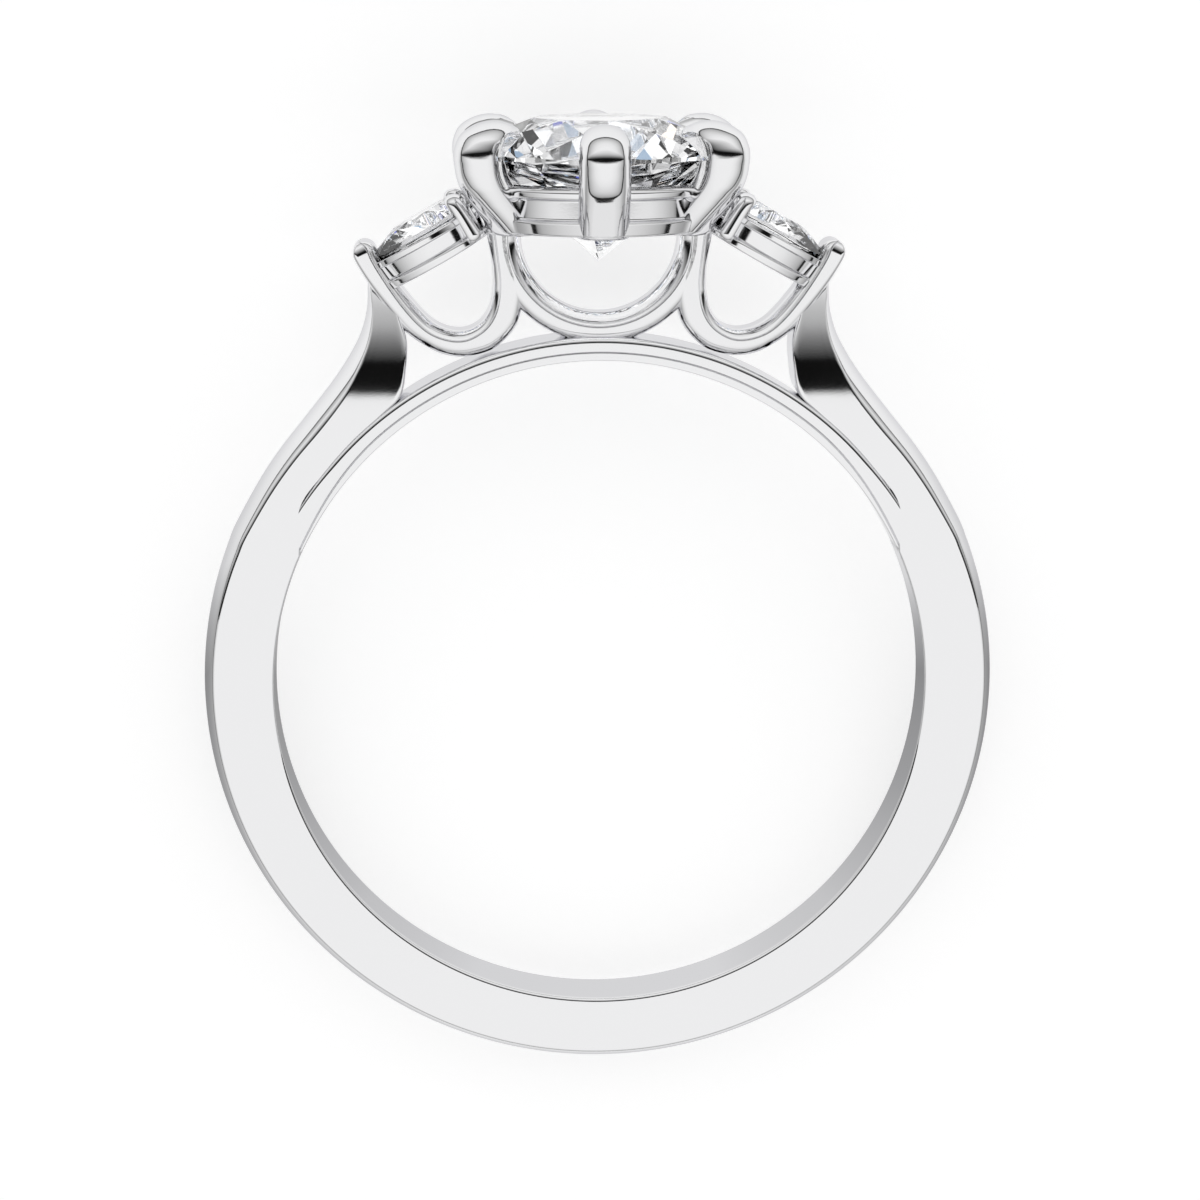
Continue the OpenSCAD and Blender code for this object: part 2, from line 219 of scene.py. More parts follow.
def spline(rows, steps):
    """A smooth curve through table rows, with the given number of steps between two rows."""
    rows = np.array(rows, float)
    ends = np.vstack([2 * rows[0] - rows[1], rows, 2 * rows[-1] - rows[-2]])
    out = []
    for k in range(1, len(ends) - 2):
        p0, p1, p2, p3 = ends[k - 1:k + 3]
        for t in np.arange(steps) / steps:
            out.append(0.5 * (2 * p1 + (p2 - p0) * t + (2 * p0 - 5 * p1 + 4 * p2 - p3) * t ** 2
                              + (3 * p1 - p0 - 3 * p2 + p3) * t ** 3))
    out.append(rows[-1])
    return np.array(out)


ROUND_STEPS = 6
# A guard point stands this many roundings from the corner, so that shading stays flat beside it.
GUARD = 1.25


def eased(corners):
    """A closed outline whose corners (a, b, size) are rounded off over the given size."""
    out = []
    n = len(corners)
    for i, (a, b, size) in enumerate(corners):
        here = np.array([a, b])
        if size <= 0:
            out.append(here)
            continue
        before = np.array(corners[i - 1][:2]) - here
        after = np.array(corners[(i + 1) % n][:2]) - here
        before /= np.linalg.norm(before)
        after /= np.linalg.norm(after)
        out.append(here + before * size * GUARD)
        for t in np.linspace(0, 1, ROUND_STEPS):
            out.append(here + before * size * (1 - t) ** 2 + after * size * t ** 2)
        out.append(here + after * size * GUARD)
    return np.array(out)


def arc(centre, radius, start, end, steps):
    """Points of an arc in degrees."""
    turns = np.radians(np.linspace(start, end, steps + 1))
    return [(centre[0] + radius * math.cos(t), centre[1] + radius * math.sin(t)) for t in turns]


def upright_ring(start, way, section):
    """A section set up in the ring's plane: its first column runs the given way, its second along z."""
    return [(start[0] + way[0] * u, start[1] + way[1] * u, w) for u, w in section]


def both_sides(name, points, faces, material, replaced):
    """A piece and its mirror image on the left."""
    finish_piece(name + "_right", points, faces, material, replaced)
    mirrored = [(-x, y, z) for x, y, z in points]
    finish_piece(name + "_left", mirrored, [f[::-1] for f in faces], material, replaced)


# Shank and shoulders. The shoulders and the bridge leave the round shank at BRIDGE_START, in degrees.
BRIDGE_START = 24
HOLE_R = 8.45
BAND_R = 10.29
BAND_HALF = 0.95
BAND_DOME = 0.33
# The outside grows rounder towards the shoulders, and the shank thinner towards its base.
DOME_GROWS = 0.39
BASE_THINNER = 0.10
COMFORT = 0.11
BAND_STEP = 3
SIDE_STEPS = 7
# The flat side's first point stands this many roundings from the inner edge.
SIDE_START = 1.4
# More than 1 makes the outside leave the flat side at a crisper edge than an ellipse.
CROWN_POWER = 1.3
# Where the points of the rounded outside lie, in degrees: closer where it turns fast
DOME_TURNS = (1, 2.5, 4.5, 7, 10, 14, 18, 23, 29, 36, 45, 56, 72)

# Columns: outer x, outer y, inner x, inner y, half width, dome, size of the inner edge
SHOULDER_ROWS = [
    [8.80, 5.27, 7.72, 4.68, 0.95, 0.43, 0.02],
    [8.26, 6.08, 7.10, 5.58, 0.95, 0.47, 0.03],
    [7.55, 6.98, 6.35, 6.42, 0.95, 0.51, 0.04],
    [6.86, 7.86, 5.56, 7.11, 0.95, 0.52, 0.08],
    [6.43, 8.50, 5.10, 7.56, 0.95, 0.51, 0.14],
    [6.12, 9.10, 4.96, 8.22, 0.90, 0.46, 0.17],
    [5.95, 9.74, 4.93, 8.94, 0.76, 0.38, 0.16],
    [5.92, 10.40, 5.16, 9.72, 0.60, 0.28, 0.12],
]
# The shoulders' sides fall back towards the head. Columns: height, half width
SCOOP_ROWS = [
    (6.60, 0.9500), (7.10, 0.9480), (7.50, 0.9380), (7.78, 0.9240), (8.10, 0.8990), (8.48, 0.8580),
    (8.90, 0.7950), (9.30, 0.7140), (9.85, 0.5680), (10.20, 0.4540), (10.60, 0.3100),
]


def band_section(depth, half, dome, inner_edge):
    """Outside rounded nearly as half an ellipse, flat sides and eased inner edges."""
    side = [(u, half, 0) for u in np.linspace(inner_edge * SIDE_START, depth - dome, SIDE_STEPS)]
    crown = [(depth - dome + dome * math.sin(t), half * math.cos(t) ** CROWN_POWER, 0)
             for t in np.radians(DOME_TURNS)]
    upper = [(0, half, inner_edge)] + side + crown
    return eased(upper + [(depth, 0, 0)] + [(u, -w, size) for u, w, size in upper[::-1]])


def scooped(ring):
    """Holds a section's points inside the shoulders' falling sides."""
    heights, halves = spline(SCOOP_ROWS, steps=8).T
    return [(x, y, math.copysign(min(abs(z), np.interp(y, heights, halves)), z)) for x, y, z in ring]


def band():
    """Shank and both shoulders in one sweep, from the right shoulder's tip round the base to the left's."""
    circle = []
    for turn in range(-90, BRIDGE_START + 1, BAND_STEP):
        c, s = math.cos(math.radians(turn)), math.sin(math.radians(turn))
        outer = BAND_R - BASE_THINNER * min(s, 0.0) ** 2
        dome = BAND_DOME + DOME_GROWS * max(s, 0.0) ** 2
        circle.append([outer * c, outer * s, HOLE_R * c, HOLE_R * s, BAND_HALF, dome, COMFORT])
    right = spline(circle + SHOULDER_ROWS, steps=6)
    left = right[1:] * [-1, 1, -1, 1, 1, 1, 1]
    rings = []
    for row in list(right[::-1]) + list(left):
        outer, inner = row[0:2], row[2:4] * max(1.0, HOLE_R / np.linalg.norm(row[2:4]))
        depth = np.linalg.norm(outer - inner)
        section = band_section(depth, *row[4:7])
        rings.append(scooped(upright_ring(inner, (outer - inner) / depth, section)))
    finish_piece("shank_and_shoulders", *skin(rings), WHITE_GOLD, "mount")


# Bridge over the finger
BRIDGE_T = 0.60
BRIDGE_HALF = 0.948
BRIDGE_EDGE = 0.13
BRIDGE_STEP = 1.5
# How deep its ends are sunk into the shoulders, which fades over SUNK_OVER degrees. The rounding of its
# outer edge grows over EDGE_OPENS_OVER degrees.
SUNK = 0.01
SUNK_OVER = 5
EDGE_OPENS_OVER = 18
# The bevel at the end of the hole grows under the bridge.
BEVEL_OUT = 0.24
BEVEL_IN = 0.05
BEVEL_STEP = 0.03
BEVEL_GROWS_OVER = 26
OPENING_EDGE = 0.03
# A fine groove beside the bevels and the wires' inner rounding, and the rounding of its edges
GROOVE = 0.045
CREASE = 0.008


def bridge():
    """Thin ring section over the finger, under the head. Its ends are sunk into the shoulders."""
    rings = []
    for turn in np.arange(BRIDGE_START, 180 - BRIDGE_START + BRIDGE_STEP / 2, BRIDGE_STEP):
        past = min(turn - BRIDGE_START, 180 - BRIDGE_START - turn)
        grown = min(1.0, past / BEVEL_GROWS_OVER)
        bevel = COMFORT + (BEVEL_OUT - COMFORT) * grown * grown * (3 - 2 * grown)
        sunk = SUNK * max(0.0, 1 - past / SUNK_OVER)
        way = (math.cos(math.radians(turn)), math.sin(math.radians(turn)))
        low, half = sunk, BRIDGE_HALF - sunk
        edge = BRIDGE_EDGE * min(1.0, 0.1 + past / EDGE_OPENS_OVER)
        front = [
            (low, half - BEVEL_IN, OPENING_EDGE),
            (low + bevel - GROOVE, half - BEVEL_STEP, CREASE),
            (low + bevel - GROOVE / 2, half - BEVEL_STEP - GROOVE, CREASE),
            (low + bevel, half, CREASE),
            (BRIDGE_T, half, edge),
        ]
        section = eased(front + [(u, -w, size) for u, w, size in front[::-1]])
        rings.append(upright_ring((way[0] * HOLE_R, way[1] * HOLE_R), way, section))
    finish_piece("bridge", *skin(rings), WHITE_GOLD, "mount")


# U wires
WIRE_HALF = 0.675
WIRE_T = 0.79
U_RADIUS = 2.395
U_HEIGHT = 11.65
LEG_TOP = 12.05

# The wire's outer rounding is a quarter circle; the inner one starts at a fine groove, at this tilt.
OUTER_ROUND = 0.30
INNER_ROUND = 0.54
CREASE_TILT = 22
OUTER_POINTS = 13
INNER_POINTS = 21
# The least flat front that is left beside the groove
FLAT_LEFT = 0.02

# The right side U, from its leg at the centre U round to the claw over the pear's point.
# Columns: outer x, outer y, inner x, inner y, outer rounding, inner rounding
SIDE_U_ROWS = [
    [2.36, 12.05, 2.92, 12.05, 0.04, 0.28], [2.34, 11.55, 2.86, 11.55, 0.04, 0.28],
    [2.25, 10.96, 2.76, 10.96, 0.06, 0.24], [2.03, 10.50, 2.725, 10.50, 0.16, 0.26],
    [1.96, 10.10, 2.74, 10.20, 0.28, 0.27], [2.00, 9.70, 2.80, 9.86, 0.32, 0.28],
    [2.12, 9.33, 2.91, 9.60, 0.32, 0.30], [2.39, 8.98, 3.08, 9.39, 0.32, 0.32],
    [2.80, 8.68, 3.33, 9.25, 0.32, 0.36], [3.45, 8.52, 3.60, 9.207, 0.32, 0.40],
    [4.02, 8.585, 3.92, 9.27, 0.32, 0.42], [4.52, 8.83, 4.22, 9.42, 0.32, 0.44],
    [4.97, 9.17, 4.49, 9.66, 0.30, 0.44], [5.35, 9.62, 4.77, 9.98, 0.28, 0.44],
    [5.68, 10.08, 5.05, 10.33, 0.22, 0.42], [5.95, 10.50, 5.36, 10.74, 0.16, 0.36],
    [6.15, 10.84, 5.60, 11.11, 0.13, 0.32], [6.25, 11.03, 5.70, 11.32, 0.12, 0.30],
]
# The claw over the pear's point ends in a round head: how far round it goes in degrees, in how many
# steps, and by how much its half width narrows.
CLAW_DOME_TURN = 84
CLAW_DOME_STEPS = 7
CLAW_DOME_NARROWS = 0.16


def wire_section(thick, half, outer_round, inner_round):
    """Flat front and back with well rounded outer edges, and a groove where the inner rounding starts."""
    flat = math.sin(math.radians(CREASE_TILT))
    outer = [(outer_round * (1 - math.sin(t)), half - outer_round * (1 - math.cos(t)))
             for t in np.radians(np.linspace(90, 0, OUTER_POINTS))]
    inner = [(thick - inner_round * (1 - math.sin(t)),
              half - inner_round * (math.cos(math.radians(CREASE_TILT)) - math.cos(t)))
             for t in np.radians(np.linspace(CREASE_TILT, 90, INNER_POINTS))]
    shortest = thick - inner_round * (1 - flat)
    front = [(min(u, shortest - GROOVE - FLAT_LEFT), w, 0) for u, w in outer]
    front += [(shortest - GROOVE, half, CREASE), (shortest - GROOVE / 2, half - GROOVE, CREASE)]
    front += [(u, w, 0 if k else CREASE) for k, (u, w) in enumerate(inner)]
    return eased(front + [(u, -w, size) for u, w, size in front[::-1]])


def wire(rows):
    """A wire through rows of outer and inner points, half width, outer and inner rounding."""
    rings = []
    for row in rows:
        outer, inner = row[0:2], row[2:4]
        thick = np.linalg.norm(inner - outer)
        rings.append(upright_ring(outer, (inner - outer) / thick, wire_section(thick, *row[4:7])))
    return skin(rings)


def domed_end(row):
    """Sections that close a wire with a round head, as wide as the wire is thick."""
    outer, inner = row[0:2], row[2:4]
    middle, reach = (outer + inner) / 2, np.linalg.norm(inner - outer) / 2
    across = (inner - outer) / (2 * reach)
    ahead = np.array([across[1], -across[0]])
    rows = []
    for t in np.radians(np.linspace(0, CLAW_DOME_TURN, CLAW_DOME_STEPS + 1)[1:]):
        here, share = middle + ahead * reach * math.sin(t), math.cos(t)
        half = row[4] - CLAW_DOME_NARROWS * (1 - share)
        rows.append(np.array([*(here - across * reach * share), *(here + across * reach * share),
                              half, row[5] * share, row[6] * share]))
    return rows


def u_wires():
    """The centre U under the round brilliant, and a side U under each pear."""
    bend = arc((0, U_HEIGHT), U_RADIUS, 180, 360, steps=72)
    path = [(-U_RADIUS, LEG_TOP)] + bend + [(U_RADIUS, LEG_TOP)]
    centre = []
    for x, y in path:
        out = np.array([x, min(y - U_HEIGHT, 0.0)])
        out *= WIRE_T / 2 / np.linalg.norm(out)
        centre.append(np.array([x + out[0], y + out[1], x - out[0], y - out[1],
                                WIRE_HALF, OUTER_ROUND, INNER_ROUND]))
    finish_piece("centre_u_wire", *wire(centre), WHITE_GOLD, "mount")
    side = [np.array([*row[:4], WIRE_HALF, *row[4:]]) for row in spline(SIDE_U_ROWS, steps=4)]
    both_sides("side_u_wire", *wire(side + domed_end(side[-1])), WHITE_GOLD, "mount")


# Centre setting
STONE_R = 3.06
GIRDLE_Y = 13.547
TURN_STEPS = 128

# The collar, from its lower inside up its outside. Columns: radius, height, size of the rounding
COLLAR = [
    [2.42, 11.76, 0.05], [2.88, 11.76, 0.06], [3.02, 12.12, 0.05], [2.826, 12.16, 0.04],
    [2.816, 12.66, 0.04], [3.02, 12.70, 0.05], [3.05, 12.90, 0.08], [2.94, 12.98, 0.05],
    [2.56, 12.98, 0.05],
]

# Columns: inner radius and height, outer radius and height, share of the half width, roundness of the
# front. Radii are counted from the stone's edge and heights from its girdle.
CLAW_ROWS = [
    [-1.16, -1.80, -0.13, -1.85, 1.00, 0.80],
    [-0.70, -1.28, 0.37, -1.31, 1.00, 0.80],
    [-0.44, -0.98, 0.64, -1.01, 1.00, 0.85],
    [-0.40, -0.78, 0.81, -0.81, 1.00, 0.90],
    [-0.30, -0.58, 0.96, -0.60, 1.00, 0.95],
    [-0.12, -0.32, 1.07, -0.33, 1.00, 1.00],
    [-0.02, -0.05, 1.12, -0.05, 1.00, 1.00],
    [0.03, 0.12, 1.138, 0.14, 1.00, 1.00],
    [-0.12, 0.30, 1.105, 0.40, 0.99, 1.00],
    [-0.40, 0.47, 0.94, 0.71, 0.94, 1.00],
    [-0.60, 0.61, 0.60, 0.93, 0.80, 1.00],
    [-0.68, 0.72, 0.22, 1.03, 0.55, 1.00],
    [-0.62, 0.83, -0.14, 1.02, 0.25, 1.00],
]
CLAW_HALF = 0.65
# A claw's section: the front bulges at most this share of the depth and wraps round this far in
# degrees, and the neck keeps at least this share of the half width.
CLAW_BULGE = 0.6
CLAW_WRAP = 118
CLAW_NECK_LEAST = 0.3
CLAW_POINTS = 37
# The two corners of the neck are eased by this much, or less where the claw is small.
CLAW_CORNER = 0.08
CLAW_TURNS = range(0, 360, 60)


def turned(profile):
    """A profile of radius and height, turned round the head's axis."""
    rings = []
    for k in range(TURN_STEPS):
        a = 2 * math.pi * k / TURN_STEPS
        rings.append([(r * math.sin(a), h, r * math.cos(a)) for r, h in profile])
    return skin(rings, closed=True)


def claw_section(depth, half, roundness):
    """A round pill, with a neck that narrows towards the stone. Less roundness makes the front flatter."""
    bulge = min(half, depth * CLAW_BULGE)
    middle = depth - bulge
    wrap = math.radians(CLAW_WRAP)
    pill = []
    for t in np.linspace(-wrap, wrap, CLAW_POINTS):
        u, w = (math.copysign(abs(f(t)) ** roundness, f(t)) for f in (math.cos, math.sin))
        pill.append((middle + bulge * u, half * w))
    narrow = (middle + bulge * math.cos(wrap)) / math.tan(wrap)
    neck = max(half * math.sin(wrap) + narrow, CLAW_NECK_LEAST * half)
    corner = min(CLAW_CORNER, half * 0.25, depth * 0.15)
    return eased([(0, neck, corner), (0, -neck, corner)] + [(u, w, 0) for u, w in pill])


def claw_points(turn):
    """One claw of the centre setting, at a turn from the viewer's side."""
    a = math.radians(turn)
    out, across = (math.sin(a), math.cos(a)), (math.cos(a), -math.sin(a))
    rings = []
    for row in spline(CLAW_ROWS, steps=5):
        inner = np.array([STONE_R + row[0], GIRDLE_Y + row[1]])
        outer = np.array([STONE_R + row[2], GIRDLE_Y + row[3]])
        depth = np.linalg.norm(outer - inner)
        way = (outer - inner) / depth
        ring = []
        for u, w in claw_section(depth, CLAW_HALF * row[4], row[5]):
            r, h = inner + way * u
            ring.append((out[0] * r + across[0] * w, h, out[1] * r + across[1] * w))
        rings.append(ring)
    return skin(rings)


def centre_setting():
    """Collar with a recessed channel, and six claws."""
    finish_piece("centre_collar", *turned(eased(COLLAR)), WHITE_GOLD, "mount")
    for k, turn in enumerate(CLAW_TURNS):
        finish_piece(f"centre_claw_{k + 1}", *claw_points(turn), WHITE_GOLD, "mount")


# Pear settings
PEAR_R = 1.20
PEAR_POINT = 1.90
PEAR_ARC_R = (PEAR_POINT ** 2 + PEAR_R ** 2) / (2 * PEAR_R)
PEAR_SHIFT = PEAR_ARC_R - PEAR_R
PEAR_PLACE = (4.27, 11.83)
PEAR_SLOPE = 30.0

# The pear's collar. Columns: how far out from the stone, height from its girdle, size of the rounding
PEAR_COLLAR = [
    [-0.42, -0.86, 0.03], [0.10, -0.86, 0.05], [0.14, -0.64, 0.05], [-0.04, -0.61, 0.02],
    [0.012, -0.24, 0.02], [0.13, -0.22, 0.02], [0.12, -0.07, 0.03], [-0.42, -0.06, 0.03],
]

# The two claws at the pear's round end. Columns: height, lean towards the stone, half width, half depth
ROUND_CLAW = [
    [-0.80, 0.00, 0.27, 0.22], [-0.20, 0.00, 0.27, 0.22], [0.15, 0.01, 0.27, 0.22],
    [0.32, 0.04, 0.26, 0.22], [0.43, 0.08, 0.21, 0.18], [0.49, 0.11, 0.13, 0.11],
    [0.52, 0.13, 0.04, 0.04],
]
ROUND_CLAW_TURN = 47
ROUND_CLAW_OUT = 0.06
ROUND_CLAW_STEP = 15


def pear_outline(grow, steps):
    """The pear's outline, grown: a half circle at the round end, and two long arcs to the point."""
    big = PEAR_ARC_R + grow
    tip = math.degrees(math.acos(PEAR_SHIFT / big))
    upper = [(big * math.sin(math.radians(a)), big * math.cos(math.radians(a)) - PEAR_SHIFT)
             for a in np.linspace(tip, 0, steps)]
    round_end = [((PEAR_R + grow) * math.cos(a), (PEAR_R + grow) * math.sin(a))
                 for a in np.radians(np.linspace(90, 270, steps))[1:-1]]
    lower = [(x, -y) for x, y in upper[:0:-1]]
    return upper + round_end + lower


def at_pear(points):
    """Points drawn with the pear's point along x and its table up, put at the right pear."""
    c, s = math.cos(math.radians(PEAR_SLOPE)), math.sin(math.radians(PEAR_SLOPE))
    return [(PEAR_PLACE[0] + x * c + z * s, PEAR_PLACE[1] - x * s + z * c, -y) for x, y, z in points]


def pear_collar():
    """Rail, recessed channel and rail round the pear."""
    rings = [[(x, y, h) for x, y in pear_outline(out, steps=24)] for out, h in eased(PEAR_COLLAR)]
    points, faces = skin(rings, closed=True)
    both_sides("pear_collar", at_pear(points), faces, WHITE_GOLD, "mount")


def round_claws():
    """Two broad claws at the pear's round end."""
    for k, side in enumerate((-1, 1)):
        a = math.radians(180 + side * ROUND_CLAW_TURN)
        out, across = (math.cos(a), math.sin(a)), (-math.sin(a), math.cos(a))
        rings = []
        for height, lean, half, deep in spline(ROUND_CLAW, steps=4):
            reach = PEAR_R + ROUND_CLAW_OUT - lean
            ring = []
            for t in np.radians(np.arange(0, 360, ROUND_CLAW_STEP)):
                u = math.cos(t) * deep + reach
                w = math.sin(t) * half
                ring.append((out[0] * u + across[0] * w, out[1] * u + across[1] * w, height))
            rings.append(ring)
        points, faces = skin(rings)
        both_sides(f"pear_round_claw_{k + 1}", at_pear(points), faces, WHITE_GOLD, "mount")


# The round brilliant's proportions, as shares of its width or of the way between two corners
TABLE_SHARE = 0.57
CROWN_SHARE = 0.138
GIRDLE_SHARE = 0.03
PAVILION_SHARE = 0.426
STAR_SHARE = 0.50
LOWER_SHARE = 0.77
# Corners of the facets round the girdle, in degrees from one to the next, and its own flat sides
CORNER_TURN = 22.5
RIM_TURN = 5.625


def plane_through(a, b, c, inside):
    """A facet's plane through three points, facing away from a point inside the stone."""
    a, b, c = (np.array(p, float) for p in (a, b, c))
    facing = np.cross(b - a, c - a)
    facing /= np.linalg.norm(facing)
    if np.dot(facing, np.array(inside) - a) > 0:
        facing = -facing
    return a, facing


# Points of the block this near a cut count as lying on it.
CUT_NEAR = 1e-6


def cut_stone(name, planes, size, place, replaced):
    """Grinds a block down with one flat cut for each facet."""
    work = bmesh.new()
    bmesh.ops.create_cube(work, size=size)
    for point, facing in planes:
        everything = work.verts[:] + work.edges[:] + work.faces[:]
        bmesh.ops.bisect_plane(work, geom=everything, dist=CUT_NEAR, plane_co=point, plane_no=facing,
                               clear_outer=True)
        rim = [e for e in work.edges if e.is_boundary]
        if rim:
            bmesh.ops.contextual_create(work, geom=rim)
    work.verts.index_update()
    points = place([tuple(v.co) for v in work.verts])
    faces = [[v.index for v in f.verts] for f in work.faces]
    work.free()
    finish_piece(name, points, faces, DIAMOND, replaced, smooth=False)


def facet_planes(outline, tangents, middle, heights, table_share, rim):
    """Planes of a brilliant: table, mains, stars, halves and the rim's flat sides.

    outline holds 16 girdle points, tangents the way of the outline there, heights the crown's, the
    girdle's and the pavilion's."""
    crown, girdle, pavilion = heights
    inside = (middle[0], middle[1], girdle / 2)
    low = [np.array([x, y, 0.0]) for x, y in outline]
    high = [p + [0, 0, girdle] for p in low]
    axis = np.array([middle[0], middle[1], 0.0])
    culet = axis + [0, 0, -pavilion]
    table = [axis + (low[2 * k] - axis) * table_share + [0, 0, girdle + crown] for k in range(8)]
    planes = [(table[0], np.array([0.0, 0.0, 1.0]))]
    tops, bottoms = [], []
    for k in range(8):
        way = np.array([*tangents[2 * k], 0.0])
        tops.append(plane_through(high[2 * k], high[2 * k] + way, table[k], inside))
        bottoms.append(plane_through(low[2 * k], low[2 * k] + way, culet, inside))
    planes += tops + bottoms
    for k in range(8):
        n = (k + 1) % 8
        mid = 2 * k + 1
        star = ridge_point(tops[k], tops[n], high[mid], axis, 1 - (1 - table_share) * STAR_SHARE)
        lower = ridge_point(bottoms[k], bottoms[n], low[mid], axis, 1 - LOWER_SHARE)
        planes.append(plane_through(table[k], table[n], star, inside))
        for corner in (2 * k, (2 * k + 2) % 16):
            planes.append(plane_through(high[corner], high[mid], star, inside))
            planes.append(plane_through(low[corner], low[mid], lower, inside))
    for a, b in zip(rim, rim[1:] + rim[:1]):
        planes.append(plane_through((*a, 0.0), (*b, 0.0), (*a, 1.0), inside))
    return planes


def ridge_point(one, other, rim_point, axis, share):
    """Where the edge between two neighbouring main facets lies, at a share of the way out to the rim."""
    spot = axis + (rim_point - axis) * share
    heights = []
    for point, facing in (one, other):
        heights.append(point[2] - np.dot(facing[:2], spot[:2] - point[:2]) / facing[2])
    spot[2] = sum(heights) / 2
    return spot


def round_brilliant():
    """Centre stone: 57 facets and a girdle of narrow flat sides."""
    turns = np.radians(np.arange(16) * CORNER_TURN + CORNER_TURN / 2)
    outline = [(STONE_R * math.cos(t), STONE_R * math.sin(t)) for t in turns]
    tangents = [(-math.sin(t), math.cos(t)) for t in turns]
    sides = np.radians(np.arange(0, 360, RIM_TURN))
    rim = [(STONE_R * math.cos(t), STONE_R * math.sin(t)) for t in sides]
    across = 2 * STONE_R
    heights = (across * CROWN_SHARE, across * GIRDLE_SHARE, across * PAVILION_SHARE)
    planes = facet_planes(outline, tangents, (0, 0), heights, TABLE_SHARE, rim)

    def place(points):
        return [(x, GIRDLE_Y + z, -y) for x, y, z in points]

    cut_stone("centre_brilliant", planes, 4 * STONE_R, place, "centre_stone")


# The pear's cut: heights, the table's share of the width, where its lowest point lies, and the size of
# the block that it is ground from
PEAR_CROWN = 0.40
PEAR_GIRDLE = 0.072
PEAR_PAVILION = 0.74
PEAR_TABLE = 0.5
PEAR_MIDDLE = (-0.15, 0.0)
PEAR_BLOCK = 8.0


def pear_brilliants():
    """Side stones: pear brilliants, point outwards."""
    outline, tangents = [], []
    sweep = math.degrees(math.acos(PEAR_SHIFT / PEAR_ARC_R))
    for s in np.arange(16) * CORNER_TURN:
        f, side = (s, 1) if s <= 180 else (360 - s, -1)
        if f < 90:
            a = math.radians(sweep * (1 - f / 90))
            x, y = PEAR_ARC_R * math.sin(a), side * (PEAR_ARC_R * math.cos(a) - PEAR_SHIFT)
            way = (0.0, 1.0) if f == 0 else (math.cos(a), -side * math.sin(a))
        else:
            a = math.radians(f)
            x, y = PEAR_R * math.cos(a), side * PEAR_R * math.sin(a)
            way = (-math.sin(a), side * math.cos(a))
        outline.append((x, y))
        tangents.append(way)
    heights = (PEAR_CROWN, PEAR_GIRDLE, PEAR_PAVILION)
    planes = facet_planes(outline, tangents, PEAR_MIDDLE, heights, PEAR_TABLE, pear_outline(0, steps=12))

    def right(points):
        return at_pear([(x, y, z - PEAR_GIRDLE / 2) for x, y, z in points])

    def left(points):
        return [(-x, y, z) for x, y, z in right(points)]

    cut_stone("right_pear_brilliant", planes, PEAR_BLOCK, right, "right_stone")
    cut_stone("left_pear_brilliant", planes, PEAR_BLOCK, left, "left_stone")


band()
bridge()
u_wires()
centre_setting()
pear_collar()
round_claws()
round_brilliant()
pear_brilliants()

# Floor and light
FLOOR_HALF = 1.5
FLOOR_GLOW = 0.52
# Glow of the card that the metal mirrors. Columns: how far to the head for each step to the side, share
CARD_ROWS = [
    (-2.5, 0.85), (-1.0, 0.72), (-0.6, 0.58), (-0.36, 0.46), (-0.10, 0.38), (0.0, 0.35), (0.12, 0.48),
    (0.3, 0.82), (0.8, 0.95), (2.5, 0.95),
]
CARD_REACH = 2.5
CARD_HEIGHT = 0.00002
LAMP_POWER = 0.6
LAMP_SIZE = 1.0
LAMP_HEIGHT = 0.8
# The patchwork dome round the stones. Columns: where the share of patches starts, colour
PATCH_ROWS = [
    (0.0, "#000000"), (0.28, "#ffffff"), (0.56, "#dfe3e7"), (0.70, "#7f93a8"), (0.80, "#ffffff"),
    (0.90, "#2c3034"), (0.95, "#4a52b0"), (0.975, "#e9dcd4"),
]
PATCH_SCALE = 52.0
PATCH_GLOW = 1.6
PATCH_RADIUS = 0.5
# The sky's brightness from the dark horizon up. Columns: height, share
SKY_ROWS = [
    (0.00, 0.01), (0.065, 0.012), (0.085, 0.33), (0.15, 0.50), (0.36, 0.72), (0.60, 0.92), (0.80, 1.00),
]
SKY_STRENGTH = 0.94
# A black flag stands over the head. Columns: lean of a direction from the hole's axis to the head, share
FLAG_ROWS = [(-0.056, 1.0), (-0.017, 0.005), (0.123, 0.005), (0.27, 0.27), (0.47, 0.60), (0.84, 1.0)]
FLAG_REACH = 1.0


def flat_sheet(name, height, material):
    """A wide square sheet at a height in metres, part of the stage."""
    mesh = bpy.data.meshes.new(name)
    half = FLOOR_HALF
    corners = [(-half, -half), (half, -half), (half, half), (-half, half)]
    mesh.from_pydata([(x, y, height) for x, y in corners], [], [(0, 1, 2, 3)])
    mesh.materials.append(material)
    sheet = bpy.data.objects.new(name, mesh)
    bpy.context.scene.collection.objects.link(sheet)
    return sheet


def studio_floor():
    """A light table under the ring: a pale board that glows evenly, so shadows stay faint."""
    board = bpy.data.materials.new("light_table_board")
    board.use_nodes = True
    shader = board.node_tree.nodes["Principled BSDF"]
    shader.inputs["Base Color"].default_value = linear("#dadada")
    shader.inputs["Roughness"].default_value = 0.9
    shader.inputs["Specular IOR Level"].default_value = 0.0
    shader.inputs["Emission Color"].default_value = linear("#ffffff")
    shader.inputs["Emission Strength"].default_value = FLOOR_GLOW
    flat_sheet("studio_floor", 0, board)


